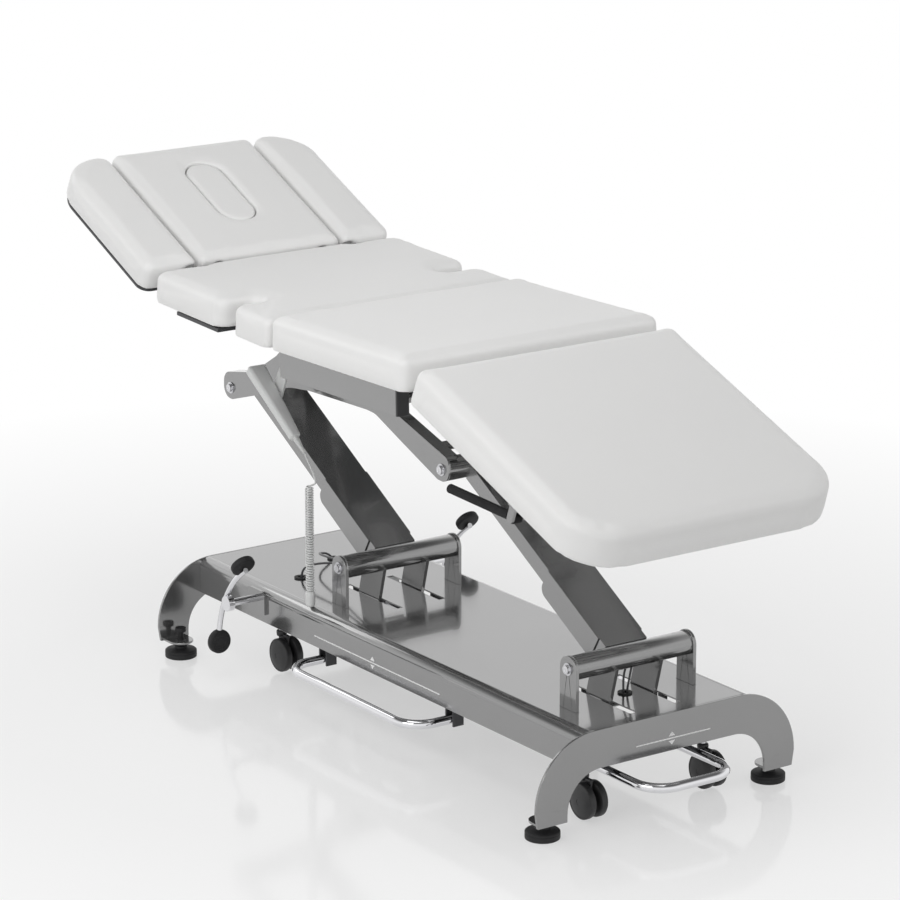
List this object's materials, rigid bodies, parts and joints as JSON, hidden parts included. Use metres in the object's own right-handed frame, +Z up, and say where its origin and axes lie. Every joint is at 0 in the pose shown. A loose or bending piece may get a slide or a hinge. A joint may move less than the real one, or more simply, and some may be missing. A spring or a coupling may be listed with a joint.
{
  "type": "electric massage table",
  "caption": "Height-adjustable treatment table with a parallelogram lift on a steel base, four tilting padded sections, arm rests, foot bars and drop-down casters",
  "frame": {"origin": "middle of the footprint box, on the floor plane", "axes": "+X runs from the head end to the leg end, +Y to the far side, +Z up"},
  "size_m": [2.0169, 0.651, 1.0553],
  "materials": {
    "silver_paint": "glossy silver-grey powder coat",
    "zinc_plate": "bright zinc-plated pins and bolts",
    "chrome_bar": "polished chrome",
    "black_rubber": "matt black rubber",
    "black_plastic": "matt black plastic",
    "white_plastic": "glossy white plastic",
    "white_leather": "smooth white upholstery",
    "dark_frame": "dark grey coated steel",
    "tyre": "black polyurethane tread"
  },
  "bodies": {
    "base": {"base_pan": "silver_paint", "end_plates": "silver_paint", "pivot_brackets": "silver_paint", "base_pivot_pins": "zinc_plate", "control_box": "black_plastic", "base_grommets": "black_rubber", "pedal_brackets": "silver_paint", "underframe_hangers": "dark_frame", "actuator_housing": "black_plastic", "handset_cord": "white_plastic"},
    "levelling_foot_1": {"levelling_foot_1": "black_rubber"},
    "levelling_foot_2": {"levelling_foot_2": "black_rubber"},
    "levelling_foot_3": {"levelling_foot_3": "black_rubber"},
    "levelling_foot_4": {"levelling_foot_4": "black_rubber"},
    "pedals": {"pedal_shaft": "chrome_bar", "pedal_pads": "black_rubber"},
    "caster_lift": {"caster_frame": "dark_frame"},
    "near_bar": {"near_foot_bar": "chrome_bar"},
    "far_bar": {"far_foot_bar": "chrome_bar"},
    "end_bar": {"end_foot_bar": "chrome_bar"},
    "drive_rod": {"actuator_rod": "chrome_bar"},
    "tie": {"tie_bar": "dark_frame"},
    "head_lift_arm": {"head_arm": "silver_paint", "head_arm_sleeve": "silver_paint"},
    "foot_lift_arm": {"foot_arm": "silver_paint", "foot_arm_sleeve": "silver_paint"},
    "carriage": {"side_plate_near": "silver_paint", "side_plate_far": "silver_paint", "carriage_tubes": "silver_paint", "top_pivot_pins": "zinc_plate", "seat_rails": "silver_paint", "rail_caps": "black_plastic", "seat_frame": "silver_paint", "seat_pad": "white_leather", "handset_hook": "white_plastic"},
    "chest": {"chest_frame": "silver_paint", "chest_pad": "white_leather"},
    "head": {"head_frame": "silver_paint", "head_pad": "white_leather"},
    "plug": {"face_plug": "white_leather"},
    "arm_rest_near": {"arm_pad_near": "white_leather"},
    "arm_rest_far": {"arm_pad_far": "white_leather"},
    "leg": {"leg_frame": "silver_paint", "leg_pad": "white_leather"},
    "leg_release": {"leg_release_bar": "black_rubber"},
    "leg_spring_barrel": {"leg_spring_cylinder": "black_plastic"},
    "leg_spring_shaft": {"leg_spring_rod": "chrome_bar"},
    "chest_spring_barrel": {"chest_spring_cylinder": "black_plastic"},
    "chest_spring_shaft": {"chest_spring_rod": "chrome_bar"},
    "handset": {"handset_body": "white_plastic", "handset_lead": "white_plastic"},
    "rocker": {"handset_rocker": "black_plastic"},
    "caster_swivel_1": {"caster_hood_1": "black_plastic"},
    "caster_roll_1": {"caster_wheels_1": "tyre"},
    "caster_swivel_2": {"caster_hood_2": "black_plastic"},
    "caster_roll_2": {"caster_wheels_2": "tyre"},
    "caster_swivel_3": {"caster_hood_3": "black_plastic"},
    "caster_roll_3": {"caster_wheels_3": "tyre"},
    "caster_swivel_4": {"caster_hood_4": "black_plastic"},
    "caster_roll_4": {"caster_wheels_4": "tyre"}
  },
  "joints": [
    {"name": "lift", "type": "hinge", "parent": "base", "child": "head_lift_arm", "pos_m": [-0.1016, 0, 0.294], "axis": [0, 1, 0], "range_deg": [-27.5, 8.1]},
    {"name": "foot_arm_hinge", "type": "hinge", "parent": "base", "child": "foot_lift_arm", "pos_m": [0.7201, 0, 0.294], "axis": [0, 1, 0], "range_deg": [-27.5, 8.1]},
    {"name": "carriage_hinge", "type": "hinge", "parent": "head_lift_arm", "child": "carriage", "pos_m": [-0.60041, 0, 0.58083], "axis": [0, 1, 0], "range_deg": [-8.1, 27.5]},
    {"name": "tie_hinge", "type": "hinge", "parent": "head_lift_arm", "child": "tie", "pos_m": [-0.13007, 0, 0.18775], "axis": [0, 1, 0], "range_deg": [-8.1, 27.5]},
    {"name": "actuator_stroke", "type": "slide", "parent": "base", "child": "drive_rod", "axis": [1, 0, 0], "range_m": [-0.0153, 0.0517]},
    {"name": "levelling_foot_1_screw", "type": "slide", "parent": "base", "child": "levelling_foot_1", "axis": [0, 0, 1], "range_m": [0, 0.005]},
    {"name": "levelling_foot_2_screw", "type": "slide", "parent": "base", "child": "levelling_foot_2", "axis": [0, 0, 1], "range_m": [0, 0.005]},
    {"name": "levelling_foot_3_screw", "type": "slide", "parent": "base", "child": "levelling_foot_3", "axis": [0, 0, 1], "range_m": [0, 0.005]},
    {"name": "levelling_foot_4_screw", "type": "slide", "parent": "base", "child": "levelling_foot_4", "axis": [0, 0, 1], "range_m": [0, 0.005]},
    {"name": "pedal_hinge", "type": "hinge", "parent": "base", "child": "pedals", "pos_m": [-0.3195, 0, 0.184], "axis": [0, -1, 0], "range_deg": [0, 25]},
    {"name": "caster_drop", "type": "slide", "parent": "base", "child": "caster_lift", "axis": [0, 0, -1], "range_m": [0, 0.0118]},
    {"name": "caster_1_swivel", "type": "hinge", "parent": "caster_lift", "child": "caster_swivel_1", "pos_m": [-0.3335, -0.151, 0.1], "axis": [0, 0, 1], "continuous": true},
    {"name": "caster_1_roll", "type": "hinge", "parent": "caster_swivel_1", "child": "caster_roll_1", "pos_m": [-0.3155, -0.151, 0.042], "axis": [0, 1, 0], "continuous": true},
    {"name": "caster_2_swivel", "type": "hinge", "parent": "caster_lift", "child": "caster_swivel_2", "pos_m": [-0.3335, 0.151, 0.1], "axis": [0, 0, 1], "continuous": true},
    {"name": "caster_2_roll", "type": "hinge", "parent": "caster_swivel_2", "child": "caster_roll_2", "pos_m": [-0.3155, 0.151, 0.042], "axis": [0, 1, 0], "continuous": true},
    {"name": "caster_3_swivel", "type": "hinge", "parent": "caster_lift", "child": "caster_swivel_3", "pos_m": [0.7735, -0.151, 0.1], "axis": [0, 0, 1], "continuous": true},
    {"name": "caster_3_roll", "type": "hinge", "parent": "caster_swivel_3", "child": "caster_roll_3", "pos_m": [0.7915, -0.151, 0.042], "axis": [0, 1, 0], "continuous": true},
    {"name": "caster_4_swivel", "type": "hinge", "parent": "caster_lift", "child": "caster_swivel_4", "pos_m": [0.7735, 0.151, 0.1], "axis": [0, 0, 1], "continuous": true},
    {"name": "caster_4_roll", "type": "hinge", "parent": "caster_swivel_4", "child": "caster_roll_4", "pos_m": [0.7915, 0.151, 0.042], "axis": [0, 1, 0], "continuous": true},
    {"name": "near_bar_rock", "type": "hinge", "parent": "base", "child": "near_bar", "pos_m": [0.126, -0.175, 0.093], "axis": [1, 0, 0], "range_deg": [-5, 5], "stiffness_Nm_per_rad": 300},
    {"name": "far_bar_rock", "type": "hinge", "parent": "base", "child": "far_bar", "pos_m": [0.126, 0.175, 0.093], "axis": [-1, 0, 0], "range_deg": [-5, 5], "stiffness_Nm_per_rad": 300},
    {"name": "end_bar_rock", "type": "hinge", "parent": "base", "child": "end_bar", "pos_m": [0.6835, 0, 0.093], "axis": [0, 1, 0], "range_deg": [-2.5, 2.5], "stiffness_Nm_per_rad": 600},
    {"name": "chest_tilt", "type": "hinge", "parent": "carriage", "child": "chest", "pos_m": [-0.10264, 0, 0.85299], "axis": [0, 1, 0], "range_deg": [0, 25]},
    {"name": "chest_spring_hinge", "type": "hinge", "parent": "carriage", "child": "chest_spring_barrel", "pos_m": [-0.02171, 0, 0.66783], "axis": [0, 1, 0], "range_deg": [0, 17.4]},
    {"name": "chest_spring_stroke", "type": "slide", "parent": "chest_spring_barrel", "child": "chest_spring_shaft", "axis": [-0.9759, 0, 0.2182], "range_m": [0, 0.0632]},
    {"name": "head_tilt", "type": "hinge", "parent": "chest", "child": "head", "pos_m": [-0.5885, 0, 0.863], "axis": [0, 1, 0], "range_deg": [-22, 8]},
    {"name": "arm_rest_near_drop", "type": "hinge", "parent": "chest", "child": "arm_rest_near", "pos_m": [-0.5885, 0, 0.863], "axis": [0, 1, 0], "range_deg": [-40, 0]},
    {"name": "arm_rest_far_drop", "type": "hinge", "parent": "chest", "child": "arm_rest_far", "pos_m": [-0.5885, 0, 0.863], "axis": [0, 1, 0], "range_deg": [-40, 0]},
    {"name": "plug_lift", "type": "slide", "parent": "head", "child": "plug", "axis": [0.4067, 0, 0.9135], "range_m": [0, 0.06]},
    {"name": "leg_tilt", "type": "hinge", "parent": "carriage", "child": "leg", "pos_m": [0.40393, 0, 0.78701], "axis": [0, -1, 0], "range_deg": [-4.5, 19]},
    {"name": "leg_spring_hinge", "type": "hinge", "parent": "carriage", "child": "leg_spring_barrel", "pos_m": [0.15829, 0, 0.60983], "axis": [0, -1, 0], "range_deg": [-1.72, 7.1]},
    {"name": "leg_spring_stroke", "type": "slide", "parent": "leg_spring_barrel", "child": "leg_spring_shaft", "axis": [0.9832, 0, 0.1827], "range_m": [-0.0093, 0.0388]},
    {"name": "leg_release_squeeze", "type": "hinge", "parent": "leg", "child": "leg_release", "pos_m": [0.71977, -0.28, 0.62704], "axis": [0, 1, 0], "range_deg": [0, 8], "stiffness_Nm_per_rad": 12, "springref_deg": -5.73},
    {"name": "handset_unhook", "type": "slide", "parent": "carriage", "child": "handset", "axis": [0, -1, 0], "range_m": [0, 0.03]},
    {"name": "rocker_tilt", "type": "hinge", "parent": "handset", "child": "rocker", "pos_m": [-0.34796, -0.18, 0.64387], "axis": [0, 1, 0], "range_deg": [-4, 4], "stiffness_Nm_per_rad": 0.4}
  ],
  "couplings": [
    {"joint": "foot_arm_hinge", "follows": "lift", "ratio": 1},
    {"joint": "carriage_hinge", "follows": "lift", "ratio": -1},
    {"joint": "tie_hinge", "follows": "lift", "ratio": -1},
    {"joint": "actuator_stroke", "follows": "lift", "m_per_rad": -0.1075},
    {"joint": "caster_drop", "follows": "pedal_hinge", "m_per_rad": 0.027},
    {"joint": "chest_spring_hinge", "follows": "chest_tilt", "ratio": 0.69},
    {"joint": "chest_spring_stroke", "follows": "chest_tilt", "m_per_rad": 0.1443},
    {"joint": "leg_spring_hinge", "follows": "leg_tilt", "ratio": 0.371},
    {"joint": "leg_spring_stroke", "follows": "leg_tilt", "m_per_rad": 0.11663}
  ]
}
